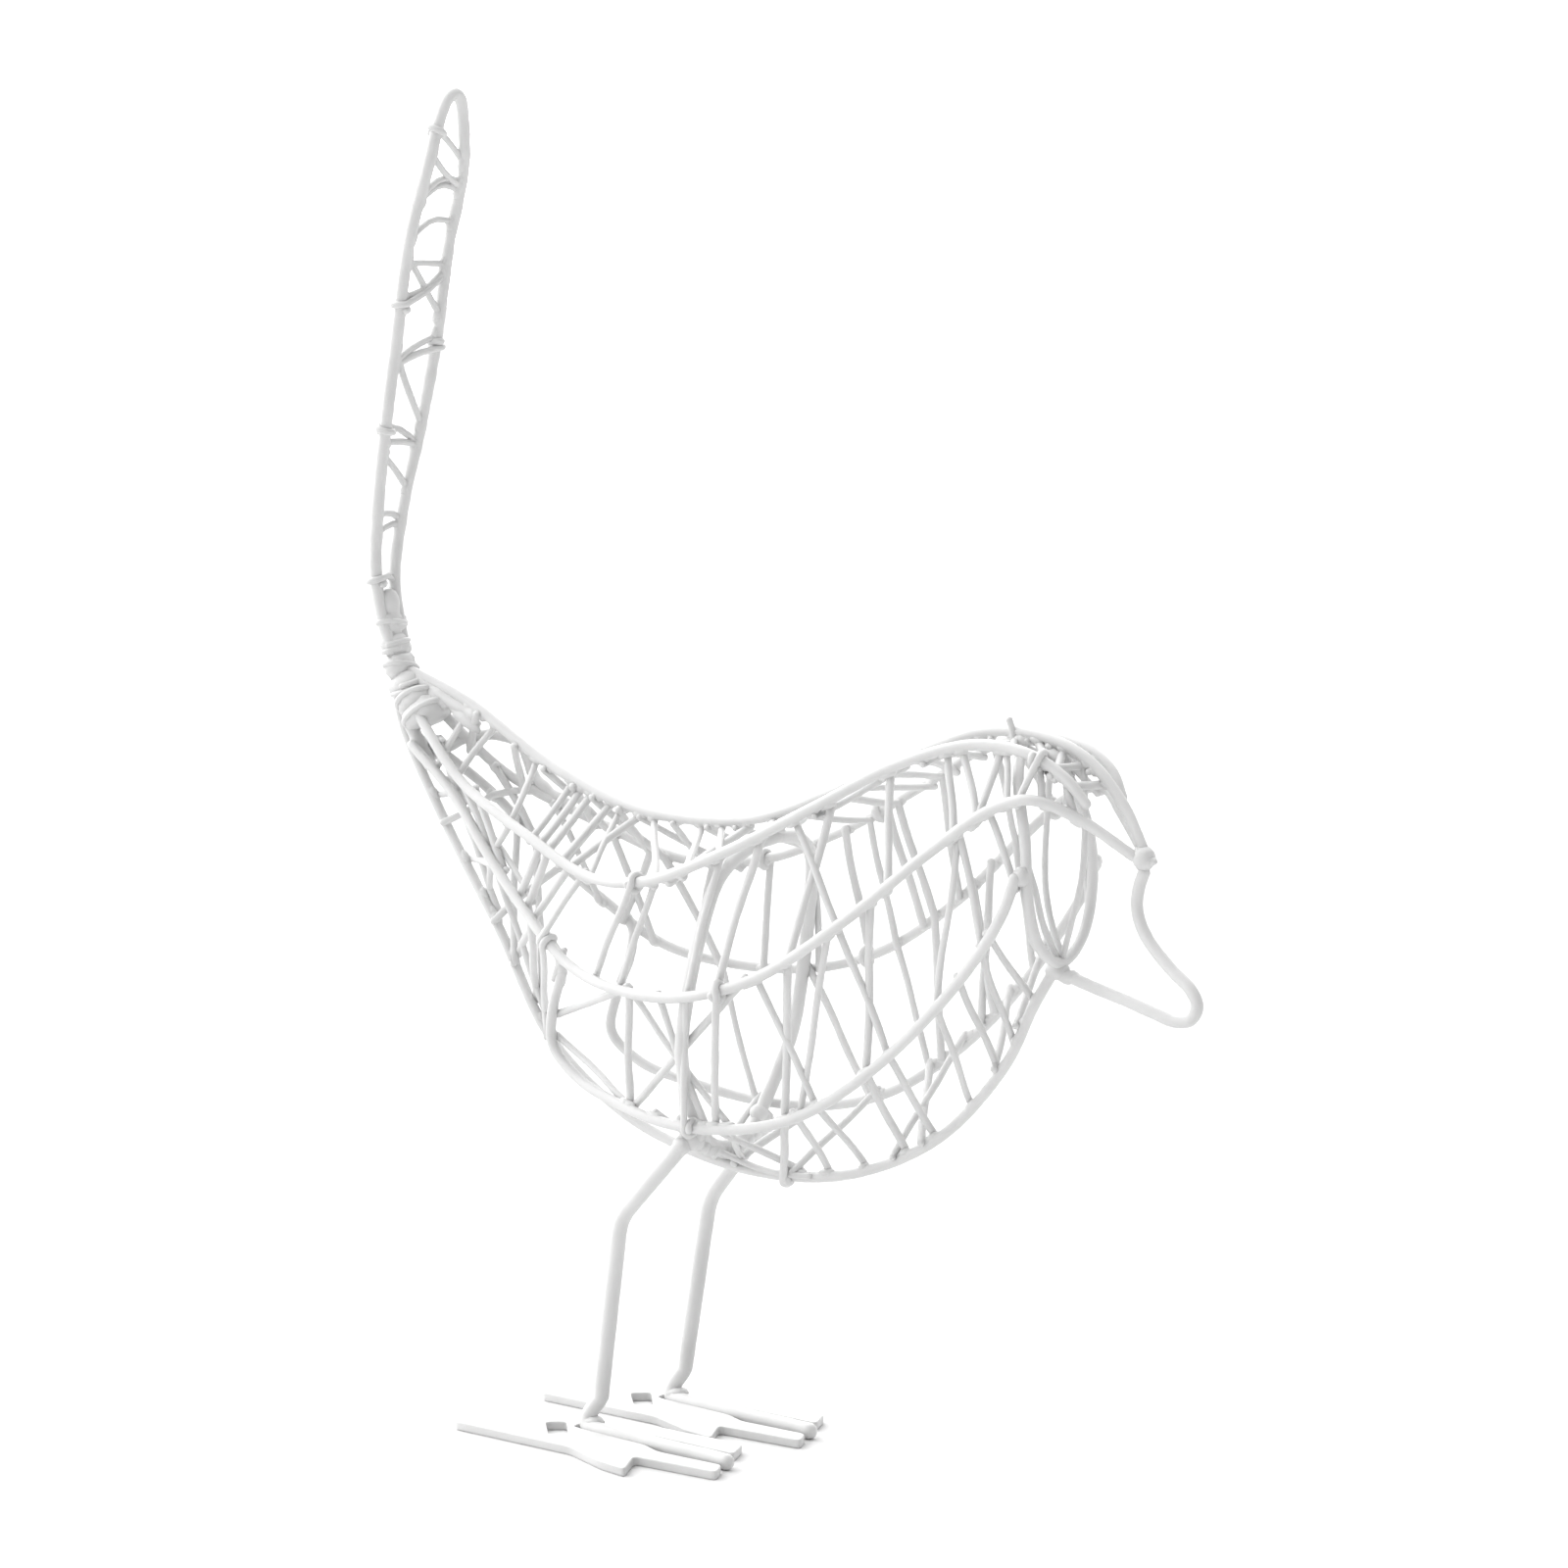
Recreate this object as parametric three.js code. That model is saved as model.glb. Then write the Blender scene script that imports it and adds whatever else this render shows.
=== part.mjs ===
// A standing bird bent and wound from white painted steel wire, open like a cage.
// Millimetres, +Z up. The bird looks along +X and its right side is at -Y.
import * as THREE from 'three';

// Radii of the rods and wires, and the clearance kept between two pieces
const CAGE_ROD = 1.25;
const WIRE = 0.75;
const BEAK_ROD = 1.4;
const HOOP_ROD = 1.6;
const LEG_ROD = 1.9;
const CLEARANCE = 0.3;

// Numbers of sides of the sections
const ROD_SIDES = 6;
const LEG_SIDES = 8;
const WIRE_SIDES = 4;

// Lengths of the straight pieces that the bent rods are made of
const CAGE_STEP = 11;
const BEAK_STEP = 3.5;
const HOOP_STEP = 6.5;
const TAIL_STEP = 5.2;

// The two rods of the middle plane, as [x, z]: along the back, and round under the body
const BACK = [
  [-71.5, 176.5], [-53, 170], [-27, 156.3], [-3, 148.2], [15, 146.4], [35, 148], [55, 155],
  [77, 164.8], [98, 172.3], [113, 172.8], [126, 168.4], [135.5, 159], [140.5, 150],
];
const BELLY = [
  [-76.5, 177], [-73.5, 163], [-61, 141], [-43, 115], [-27, 90], [-5, 74.5], [20, 66.9],
  [43, 65.2], [65, 68.8], [88, 80.2], [105.3, 98.6], [112.5, 112.4], [117.5, 120.5],
];

// The rods of one flank, as [x, half-width, z], from the tail forward
const SHOULDER = [
  [-69, 3.1, 170], [-48, 8.5, 152], [-21, 14, 140.5], [0, 18, 133.6], [20, 22, 134.7],
  [43, 22.6, 143.2], [67, 19.5, 155.4], [87, 15.5, 166], [105, 12, 171.2], [118, 10.5, 169.8],
  [126.5, 9.2, 165], [130.5, 7.2, 159.5],
];
const FLANK = [
  [-68, 3.2, 158.5], [-52, 6.5, 148], [-38, 10, 135], [-23, 14, 123], [-6.5, 18, 112.5],
  [10, 22, 109], [32, 25.3, 109.4], [54, 25, 116], [77, 23.2, 130.7], [97, 19, 147.2],
  [112, 16, 158], [121, 14.3, 160.5], [130, 8, 156], [139.5, 2.2, 148.5],
];
const LOWER = [
  [-12.5, 12.6, 109], [-16, 12, 100], [-17, 11, 91], [-9, 12, 84.3], [4, 14.5, 80.5],
  [24, 17.3, 77.7], [45, 17.4, 79.3], [62, 17.5, 84.7], [81, 17.6, 97], [98, 16.5, 113],
  [109, 15.5, 126.6], [115, 15.7, 136], [118, 15.8, 143.5],
];

// The open beak, as [x, z]: down from the brow, round the tip and back to the chin
const BEAK = [
  [142.5, 144.6], [139.6, 141.5], [139.2, 136.5], [141.5, 131], [148, 124.3], [153, 120.3],
  [154.6, 117], [153, 113.9], [149, 113.1], [144, 114.3], [136.8, 116.3], [129, 118.2],
  [122.6, 119.9],
];

// One edge of the leaf-shaped tail, as [x, half-width, z], up to its tip in the middle plane
const TAIL_EDGE = [
  [-74.8, 2.4, 181], [-77.2, 2.9, 188], [-79, 3.3, 199], [-77.2, 4.5, 215], [-72.3, 6.4, 237],
  [-67.7, 7.2, 258], [-63.5, 7.2, 280], [-57.9, 6.4, 298], [-55.8, 4, 310], [-55, 2.2, 314.2],
];
const TAIL_TIP = [-54.7, 315.6];

// The hoop that stands across the face, and the thicker one that the legs carry
const FACE_HOOP = [
  [119.8, 0, 123], [119.6, 8.5, 127.5], [119.4, 12.8, 138], [118.4, 12.6, 151], [114.5, 9.6, 163],
  [108.8, 0, 170.1],
];
const HIP_HOOP = [
  [27.2, 0, 70.2], [27.6, 8, 72.6], [28.2, 14.2, 80.4], [30.2, 21.2, 95], [32.5, 22, 109],
  [35.4, 20.6, 124], [38.6, 17.4, 137], [41, 9.5, 143], [41.8, 0, 144.6],
];

// Legs: how far they stand from the middle, then ankle, knee and hip as [x, z], the length of
// the knee's bend on each side and how much it is rounded off
const STANCE = 16;
const ANKLE = [1.4, 9];
const KNEE = [8.9, 51.5];
const KNEE_BEND = 4;
const KNEE_EASE = 0.25;
const HIP = [26.2, 72.9];

// The middle toe that each leg rod is bent into, as [x, rise, sideways to -Y], from its tip back
// to the heel; a rise of 0 lies on the floor
const TOE = [[43.5, 0, 5.6], [3.5, 0, 3.2], [-0.3, 0.3, 2.6], [-1.2, 2, 1.8]];

// The flat foot round that toe, as [forward, sideways to -Y] from the foot of the leg: half the
// width of the slot that the toe lies in and its corners on the toe's line, then the outline
// from the hind toe round by the inner toe and the outer toe, and its window
const FOOT_THICKNESS = 2.4;
const SLOT_HALF = LEG_ROD + 0.4;
const SLOT_REAR = [[-3.7, -0.5], [-3.7, 4.6]];
const SLOT_FRONT = [[9, 3.5], [20, 4.2]];
const FOOT_REAR = [[7, 18.2], [-29, 18.2], [-29, 14.6], [-8, 14.6], [-14, 6.5], [-16.5, -0.5], [-8.5, -6.8]];
const INNER_TOE = [[38, -7.6], [41, -0.2], [17, -0.6]];
const OUTER_TOE = [[26, 9], [44.5, 8.7], [46.8, 14], [24, 15.5], [28.5, 24.5], [20, 23]];
const FOOT_WINDOW = [[-3.6, 13.4], [0.2, 10.6], [-7.2, 2.4], [-11, 5.6]];

// Wire laced between neighbouring rods: the step from bend to bend, how far it leans, and the
// length that lies along a rod at each bend
const LACE_STEP = 8.6;
const TAIL_LACE_STEP = 12.5;
const LACE_LEAN = 0.3;
const HOOK = 1.2;

// The x at which each lacing starts and ends, on the upper and then on the lower of its two rods
const UPPER_LACED = [[-52, 133], [-52, 127]];
const MIDDLE_LACED = [[-50, 122], [-50, 122]];
const LOWER_LACED = [-6, 112];
const BREAST_LACED = [[35, 112], [28, 112]];
const VENT_LACED = [-24, 12];
const RUMP_LACED = [[-54, -16], [-68, -30]];

// Lengths along the lower rod, from its hooked rear end, at which wire is laced to it, the x where
// the wire behind the hip stops, and the lengths left bare at the front end and at the tail's ends
const LOWER_ROD_START = 23;
const VENT_START = 26;
const VENT_END_X = 15;
const LOWER_ROD_BARE = 8;
const TAIL_ROOT_BARE = 14;
const TAIL_TIP_BARE = 8;

// Wire bound round the root of the tail: middle as [x, z] with the turns' two half-widths
const BINDING = [
  [-76.6, 187, 3.2, 6.4], [-74.4, 180, 5.2, 5.6], [-71, 171.6, 8.6, 6.2], [-63.6, 163.8, 13.3, 8],
];
const BINDING_TURNS = 6;
const BINDING_STEPS = 60;

const paint = new THREE.MeshStandardMaterial({ color: 0xf1f1ef, roughness: 0.48, metalness: 0 });

// Points of a rod in the middle plane, and of a rod on one side: +1 left, -1 right
const inMiddle = (list) => list.map(([x, z]) => new THREE.Vector3(x, 0, z));
const onSide = (list, side) => list.map(([x, y, z]) => new THREE.Vector3(x, side * y, z));
const smooth = (points) => new THREE.CatmullRomCurve3(points);

// A wire bent at given points: an extrusion along it takes one section at each bend
class BentWire extends THREE.Curve {
  constructor(bends) {
    super();
    this.bends = bends;
  }

  getPoint(t) {
    const last = this.bends.length - 1;
    const i = Math.min(Math.floor(t * last + 1e-9), last - 1);
    return this.bends[i].clone().lerp(this.bends[i + 1], t * last - i);
  }

  getPointAt(u) {
    return this.getPoint(u);
  }

  getTangentAt(u) {
    const last = this.bends.length - 1;
    const i = Math.round(u * last);
    const tangent = new THREE.Vector3();
    if (i > 0) {
      tangent.add(this.bends[i].clone().sub(this.bends[i - 1]).normalize());
    }
    if (i < last) {
      tangent.add(this.bends[i + 1].clone().sub(this.bends[i]).normalize());
    }
    return tangent.normalize();
  }
}

function section(radius, sides) {
  const corners = Array.from({ length: sides }, (_, k) => {
    const turn = ((k + 0.5) / sides) * 2 * Math.PI;
    return new THREE.Vector2(radius * Math.cos(turn), radius * Math.sin(turn));
  });
  return new THREE.Shape(corners);
}

function rod(curve, radius, sides, step) {
  const steps = Math.max(3, Math.round(curve.getLength() / step));
  return new THREE.ExtrudeGeometry(section(radius, sides), { steps, extrudePath: curve });
}

function bentRod(bends, radius, sides) {
  const path = new BentWire(bends);
  return new THREE.ExtrudeGeometry(section(radius, sides), { steps: bends.length - 1, extrudePath: path });
}

// Height of the middle of the body at x, from the rods of the back and the belly
function heightAt(list, x) {
  const k = list.findIndex(([ahead]) => ahead > x);
  if (k <= 0) {
    return list[k === 0 ? 0 : list.length - 1][1];
  }
  const [[x0, z0], [x1, z1]] = [list[k - 1], list[k]];
  return z0 + ((z1 - z0) * (x - x0)) / (x1 - x0);
}
const middleHeight = (x) => (heightAt(BACK, x) + heightAt(BELLY, x)) / 2;

const outwardOf = (point) => new THREE.Vector3(0, point.y, point.z - middleHeight(point.x));

// A stretch of a rod, by the lengths along it or by the x at which it starts and ends
const stretch = (curve, from, to) => ({ curve, from, to });
function stretchOfX(curve, fromX, toX) {
  const lengths = curve.getLengths();
  const along = (x) => {
    const k = lengths.findIndex((_, i) => curve.getPoint(i / (lengths.length - 1)).x >= x);
    return k < 0 ? curve.getLength() : lengths[k];
  };
  return stretch(curve, along(fromX), along(toX));
}
const alongRod = (part, share) => part.from + (part.to - part.from) * share;
const shareOfRod = (part, along) => THREE.MathUtils.clamp(along / part.curve.getLength(), 0, 1);

// The point where a wire lies beside a rod, on its outer side and toward the rod it goes on to
function beside(part, along, target, outward) {
  const u = shareOfRod(part, along);
  const point = part.curve.getPointAt(u);
  const toward = target.clone().sub(point).normalize();
  const away = outward(point).normalize().add(toward);
  away.projectOnPlane(part.curve.getTangentAt(u)).normalize();
  return point.addScaledVector(away, CAGE_ROD + WIRE + CLEARANCE);
}

// Wire laced to and fro between two stretches of rod, hooked over each in turn on the outside
function lacing(upper, lower, lean = LACE_LEAN, step = LACE_STEP, outward = outwardOf) {
  const reach = Math.max(Math.abs(upper.to - upper.from), Math.abs(lower.to - lower.from));
  const count = Math.max(3, Math.round(reach / step));
  const bends = [];
  for (let k = 0; k <= count; k += 1) {
    const [part, other] = k % 2 === 0 ? [upper, lower] : [lower, upper];
    const share = THREE.MathUtils.clamp((k + (k % 2) * lean) / count, 0, 1);
    const target = other.curve.getPointAt(shareOfRod(other, alongRod(other, share)));
    for (const extra of [-HOOK, HOOK]) {
      bends.push(beside(part, alongRod(part, share) + extra, target, outward));
    }
  }
  return bentRod(bends, WIRE, WIRE_SIDES);
}

const bird = new THREE.Group();

function add(name, geometry) {
  const mesh = new THREE.Mesh(geometry, paint);
  mesh.name = name;
  bird.add(mesh);
  return mesh;
}

const back = smooth(inMiddle(BACK));
const belly = smooth(inMiddle(BELLY));
add('back_rod', rod(back, CAGE_ROD, ROD_SIDES, CAGE_STEP));
add('belly_rod', rod(belly, CAGE_ROD, ROD_SIDES, CAGE_STEP));
add('beak_loop', rod(smooth(inMiddle(BEAK)), BEAK_ROD, ROD_SIDES, BEAK_STEP));

// Hoops open by the clearance at the top, where their two ends are butted
function hoop(list, radius) {
  const right = onSide(list, -1).reverse();
  const left = onSide(list, 1).slice(1);
  right[0].y -= CLEARANCE / 2;
  left[left.length - 1].y += CLEARANCE / 2;
  return rod(smooth([...right, ...left]), radius, ROD_SIDES, HOOP_STEP);
}
add('face_hoop', hoop(FACE_HOOP, CAGE_ROD));
add('hip_hoop', hoop(HIP_HOOP, HOOP_ROD));

const tailEdge = (sign) => smooth([...onSide(TAIL_EDGE, sign), ...inMiddle([TAIL_TIP])]);
const tailPath = smooth([
  ...onSide(TAIL_EDGE, -1),
  ...inMiddle([TAIL_TIP]),
  ...onSide(TAIL_EDGE, 1).reverse(),
]);
add('tail_loop', rod(tailPath, CAGE_ROD, ROD_SIDES, TAIL_STEP));

// The turns of wire that bind the root of the tail
class Binding extends THREE.Curve {
  constructor() {
    super();
    this.middle = smooth(inMiddle(BINDING));
    this.halves = smooth(BINDING.map(([, , inPlane, sideways]) => new THREE.Vector3(inPlane, sideways, 0)));
  }

  getPoint(t) {
    const turn = t * BINDING_TURNS * 2 * Math.PI;
    const tangent = this.middle.getTangent(t);
    const half = this.halves.getPoint(t);
    const across = new THREE.Vector3(-tangent.z, 0, tangent.x).multiplyScalar(half.x * Math.cos(turn));
    return this.middle.getPoint(t).add(across).add(new THREE.Vector3(0, half.y * Math.sin(turn), 0));
  }
}
const turns = new Binding();
add('tail_binding', bentRod(turns.getPoints(BINDING_STEPS), WIRE, WIRE_SIDES));

const lace = (name, upper, lower, [upperSpan, lowerSpan]) => (
  add(`lacing_${name}`, lacing(stretchOfX(upper, ...upperSpan), stretchOfX(lower, ...lowerSpan)))
);

const SIDES = { right: -1, left: 1 };
for (const [side, sign] of Object.entries(SIDES)) {
  const shoulder = smooth(onSide(SHOULDER, sign));
  const flank = smooth(onSide(FLANK, sign));
  const lower = smooth(onSide(LOWER, sign));
  add(`shoulder_rod_${side}`, rod(shoulder, CAGE_ROD, ROD_SIDES, CAGE_STEP));
  add(`flank_rod_${side}`, rod(flank, CAGE_ROD, ROD_SIDES, CAGE_STEP));
  add(`lower_rod_${side}`, rod(lower, CAGE_ROD, ROD_SIDES, CAGE_STEP));

  const lowerFull = stretch(lower, LOWER_ROD_START, lower.getLength() - LOWER_ROD_BARE);
  const lowerFront = stretchOfX(lower, ...BREAST_LACED[0]);
  const lowerRear = stretch(lower, VENT_START, stretchOfX(lower, VENT_END_X, VENT_END_X).from);
  lace(`upper_${side}`, back, shoulder, UPPER_LACED);
  lace(`middle_${side}`, shoulder, flank, MIDDLE_LACED);
  lace(`rump_${side}`, flank, belly, RUMP_LACED);
  add(`lacing_lower_${side}`, lacing(stretchOfX(flank, ...LOWER_LACED), lowerFull));
  add(`lacing_breast_${side}`, lacing(lowerFront, stretchOfX(belly, ...BREAST_LACED[1])));
  add(`lacing_vent_${side}`, lacing(lowerRear, stretchOfX(belly, ...VENT_LACED)));

  const face = sign < 0 ? 'front' : 'back';
  const faceWay = new THREE.Vector3(-sign, 0, 0);
  const [edge, other] = [tailEdge(sign), tailEdge(-sign)].map(
    (curve) => stretch(curve, TAIL_ROOT_BARE, curve.getLength() - TAIL_TIP_BARE),
  );
  add(`tail_lacing_${face}`, lacing(edge, other, 0, TAIL_LACE_STEP, () => faceWay.clone()));
}

// One leg: from the tip of the middle toe back to the heel, then up the shank to knee and hip
function leg(sign) {
  const up = ([x, z]) => new THREE.Vector3(x, sign * STANCE, z);
  const knee = new THREE.Vector2(...KNEE);
  const below = knee.clone().sub(new THREE.Vector2(...ANKLE)).setLength(KNEE_BEND);
  const above = new THREE.Vector2(...HIP).sub(knee).setLength(KNEE_BEND);
  const eased = above.clone().sub(below).multiplyScalar(KNEE_EASE);
  return bentRod([
    ...TOE.map(([x, rise, out]) => new THREE.Vector3(x, sign * STANCE - out, LEG_ROD + rise)),
    up(ANKLE),
    up(knee.clone().sub(below).toArray()),
    up(knee.clone().add(eased).toArray()),
    up(knee.clone().add(above).toArray()),
    up(HIP),
  ], LEG_ROD, LEG_SIDES);
}

// One flat foot, cut from plate round the toe that the leg rod lies in
function foot() {
  const plan = ([forward, sideways]) => new THREE.Vector2(forward, -sideways);
  const [[tipX, , tipOut], [rootX, , rootOut]] = TOE;
  const toeWay = new THREE.Vector2(tipX - rootX, tipOut - rootOut).normalize();
  const offToe = ([x, y], out) => [x - toeWay.y * out, y + toeWay.x * out];
  const slot = [offToe(SLOT_FRONT[0], -SLOT_HALF), ...SLOT_REAR, offToe(SLOT_FRONT[1], SLOT_HALF)];
  const outline = new THREE.Shape([...FOOT_REAR, ...INNER_TOE, ...slot, ...OUTER_TOE].map(plan));
  outline.holes.push(new THREE.Path(FOOT_WINDOW.map(plan)));
  return new THREE.ExtrudeGeometry(outline, { depth: FOOT_THICKNESS, bevelEnabled: false });
}

for (const [side, sign] of Object.entries(SIDES)) {
  add(`leg_${side}`, leg(sign));
  add(`foot_${side}`, foot()).position.set(0, sign * STANCE, 0);
}

const box = new THREE.Box3().setFromObject(bird);
const middle = box.getCenter(new THREE.Vector3());
bird.position.set(-middle.x, -middle.y, -box.min.z);

export default bird;
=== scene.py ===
"""A standing bird bent and wound from white painted steel wire, on a pale floor in soft light."""
import math
import random

import bpy
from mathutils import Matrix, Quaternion, Vector, noise


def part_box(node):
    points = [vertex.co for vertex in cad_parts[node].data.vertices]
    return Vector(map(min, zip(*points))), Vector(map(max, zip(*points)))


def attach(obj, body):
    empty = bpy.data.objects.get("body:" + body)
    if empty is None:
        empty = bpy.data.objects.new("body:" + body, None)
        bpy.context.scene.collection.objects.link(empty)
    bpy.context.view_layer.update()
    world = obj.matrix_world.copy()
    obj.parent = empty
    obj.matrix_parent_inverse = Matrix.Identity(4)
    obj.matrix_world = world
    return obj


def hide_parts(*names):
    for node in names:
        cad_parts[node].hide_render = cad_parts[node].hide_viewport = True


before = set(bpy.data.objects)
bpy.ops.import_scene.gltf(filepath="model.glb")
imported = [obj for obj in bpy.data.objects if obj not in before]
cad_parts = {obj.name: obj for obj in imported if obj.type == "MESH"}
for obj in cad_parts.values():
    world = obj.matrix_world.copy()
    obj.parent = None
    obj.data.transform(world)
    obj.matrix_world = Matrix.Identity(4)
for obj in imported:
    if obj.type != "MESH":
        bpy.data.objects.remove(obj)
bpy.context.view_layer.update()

# Without a seed of its own, noise_vector starts from the clock and each run would differ
noise.seed_set(11)

# Millimetres in the bird's own frame: it looks along +X, its right side is at -Y, the floor is
# at z = 0 and the middle plane at y = 0. SHIFT carries that frame to the row frame.
MM = 0.001
FOOT_REAR_X, FOOT_OUTER_Y = -29, -40.5
SHIFT = Vector((
    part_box("foot_right")[0].x / MM - FOOT_REAR_X,
    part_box("foot_right")[0].y / MM - FOOT_OUTER_Y,
    0,
))

# Radii of the rods and wires, and the least and the greatest radius of a winding wire with its
# coats of paint
CAGE_ROD = 1.25
WIRE = 0.75
TAIL_WIRE = 0.85
BEAK_ROD = 1.4
HOOP_ROD = 1.6
TAIL_ROD = 1.5
LEG_ROD = 1.9
PAINTED_WIRE = (0.78, 1)

# Sides of the tubes: wires, cage rods, fillings and the thick rods
WIRE_SIDES, FILLING_SIDES, ROD_SIDES, THICK_SIDES = 10, 16, 20, 24
# How much the radius of a tube drifts with the paint on it: rods, legs, wires, fillings
ROD_DRIFT, LEG_DRIFT, WIRE_DRIFT, FILLING_DRIFT = 0.03, 0.04, 0.1, 0.25

# The rods of the middle plane, as [x, z]
BACK = [
    [-71.5, 176.5], [-53, 170], [-27, 156.3], [-3, 148.2], [15, 146.4], [35, 148], [55, 155],
    [77, 164.8], [98, 172.3], [113, 172.8], [126, 168.4], [135.5, 159], [140.5, 150],
]
BELLY = [
    [-76.5, 177], [-73.5, 163], [-61, 141], [-43, 115], [-27, 90], [-5, 74.5], [20, 66.9],
    [43, 65.2], [65, 68.8], [88, 80.2], [105.3, 98.6], [112.5, 112.4], [117.5, 120.5],
]
BEAK = [
    [140.9, 145], [139.6, 141.5], [139.2, 136.5], [141.5, 131], [148, 124.3], [153, 120.3],
    [154.6, 117], [153, 113.9], [149, 113.1], [144, 114.3], [136.8, 116.3], [129, 118.2],
    [122.6, 119.9],
]

# The rods of one flank, as [x, half-width, z]
SHOULDER = [
    [-69, 3.1, 170], [-48, 8.5, 152], [-21, 14, 140.5], [0, 18, 133.6], [20, 22, 134.7],
    [43, 22.6, 143.2], [67, 19.5, 155.4], [87, 15.5, 166], [105, 12, 171.2], [118, 10.5, 169.8],
    [126.5, 9.2, 165], [130.5, 7.2, 159.5],
]
FLANK = [
    [-68, 3.2, 158.5], [-52, 6.5, 148], [-38, 10, 135], [-23, 14, 123], [-6.5, 18, 112.5],
    [10, 22, 109], [32, 25.3, 109.4], [54, 25, 116], [77, 23.2, 130.7], [97, 19, 147.2],
    [112, 16, 158], [121, 14.3, 160.5], [130, 8, 156], [139.5, 2.2, 148.5],
]
LOWER = [
    [-12.5, 12.6, 109], [-16, 12, 100], [-17, 11, 91], [-9, 12, 84.3], [4, 14.5, 80.5],
    [24, 17.3, 77.7], [45, 17.4, 79.3], [62, 17.5, 84.7], [81, 17.6, 97], [98, 16.5, 113],
    [109, 15.5, 126.6], [115, 15.7, 136], [118, 15.8, 143.5],
]
FACE_HOOP = [
    [119.8, 0, 123], [119.6, 8.5, 127.5], [119.4, 12.8, 138], [118.4, 12.6, 151],
    [114.5, 9.6, 163], [108.8, 0, 170.1],
]
HIP_HOOP = [
    [27.2, 0, 70.2], [27.6, 8, 72.6], [28.2, 14.2, 80.4], [30.2, 21.2, 95], [32.5, 22, 109],
    [35.4, 20.6, 124], [38.6, 17.4, 137], [41, 9.5, 143], [41.8, 0, 144.6],
]
TAIL_EDGE = [
    [-74.8, 2.4, 181], [-77.2, 2.9, 188], [-79, 3.3, 199], [-77.2, 4.5, 215], [-72.3, 6.4, 237],
    [-67.7, 7.2, 258], [-63.5, 7.2, 280], [-57.9, 6.4, 298], [-55.8, 4, 310], [-55, 2.2, 314.2],
]
TAIL_TIP = [-54.7, 315.6]

RIGHT, LEFT = -1, 1
SIDES = {"right": RIGHT, "left": LEFT}

# Legs and feet, as in the frame: points as [x, z], and the toe's as [x, rise, sideways to -Y]
STANCE = 16
ANKLE = [1.4, 9]
KNEES = {RIGHT: [7.6, 53], LEFT: [9.2, 52.6]}
KNEE_BEND = 4
HIP = [26.2, 72.9]
TOE = [[43.5, 0, 5.6], [3.5, 0, 3.2], [-0.3, 0.3, 2.6], [-1.2, 2, 1.8]]


# Curves

def in_middle(points):
    return [Vector((x, 0, z)) for x, z in points]


def on_side(points, side):
    return [Vector((x, side * y, z)) for x, y, z in points]


def smooth(points, step=1.0):
    """Centripetal Catmull-Rom curve through points, sampled about every step millimetres."""
    out = []
    last = len(points) - 1
    for i in range(last):
        p1, p2 = points[i], points[i + 1]
        p0 = points[i - 1] if i > 0 else 2 * p1 - p2
        p3 = points[i + 2] if i + 2 <= last else 2 * p2 - p1
        pairs = ((p0, p1), (p1, p2), (p2, p3))
        d0, d1, d2 = (max(math.sqrt((b - a).length), 1e-3) for a, b in pairs)
        t1 = ((p1 - p0) / d0 - (p2 - p0) / (d0 + d1) + (p2 - p1) / d1) * d1
        t2 = ((p2 - p1) / d1 - (p3 - p1) / (d1 + d2) + (p3 - p2) / d2) * d1
        count = max(2, round((p2 - p1).length / step))
        for k in range(count):
            t = k / count
            square = 3 * (p2 - p1) - 2 * t1 - t2
            cube = 2 * (p1 - p2) + t1 + t2
            out.append(p1 + t1 * t + square * t * t + cube * t ** 3)
    out.append(points[-1].copy())
    return out


class Rod:
    """A bent rod: its middle line, measured by length or by x."""

    def __init__(self, points, radius=CAGE_ROD):
        self.line = smooth(points)
        self.radius = radius
        self.lengths = [0.0]
        for a, b in zip(self.line, self.line[1:]):
            self.lengths.append(self.lengths[-1] + (b - a).length)

    @property
    def length(self):
        return self.lengths[-1]

    def at(self, along):
        """Point and direction of the middle line at a length along it."""
        along = min(max(along, 0.0), self.length)
        low, high = 0, len(self.lengths) - 1
        while high - low > 1:
            mid = (low + high) // 2
            if self.lengths[mid] <= along:
                low = mid
            else:
                high = mid
        a, b = self.line[low], self.line[high]
        share = (along - self.lengths[low]) / max(self.lengths[high] - self.lengths[low], 1e-9)
        return a.lerp(b, share), (b - a).normalized()

    def where(self, x):
        """Length along the rod at which it last reaches x, counting from its rear end."""
        for k in range(len(self.line) - 1, 0, -1):
            if self.line[k - 1].x <= x <= self.line[k].x:
                gap = self.line[k].x - self.line[k - 1].x
                share = (x - self.line[k - 1].x) / max(gap, 1e-9)
                return self.lengths[k - 1] + share * (self.lengths[k] - self.lengths[k - 1])
        return self.length if x > self.line[-1].x else 0.0


back = Rod(in_middle(BACK))
belly = Rod(in_middle(BELLY))
side_rods = {
    name: {
        "shoulder": Rod(on_side(SHOULDER, sign)),
        "flank": Rod(on_side(FLANK, sign)),
        "lower": Rod(on_side(LOWER, sign)),
    }
    for name, sign in SIDES.items()
}


# Tubes

def new_piece(name, verts, faces):
    """A smooth white piece from points in the bird's own millimetres."""
    mesh = bpy.data.meshes.new(name)
    mesh.from_pydata([(v + SHIFT) * MM for v in verts], [], faces)
    mesh.validate()
    for poly in mesh.polygons:
        poly.use_smooth = True
    mesh.materials.append(paint)
    piece = bpy.data.objects.new(name, mesh)
    bpy.context.scene.collection.objects.link(piece)
    return piece


# The rings that round off a tube's end, as shares of its radius from the tip inward, and how far
# the tip stands out, in radii
ROUNDED_END = (0.02, 0.45, 0.8)
END_REACH = 0.8
PAINT_GRAIN = 0.35


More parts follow.
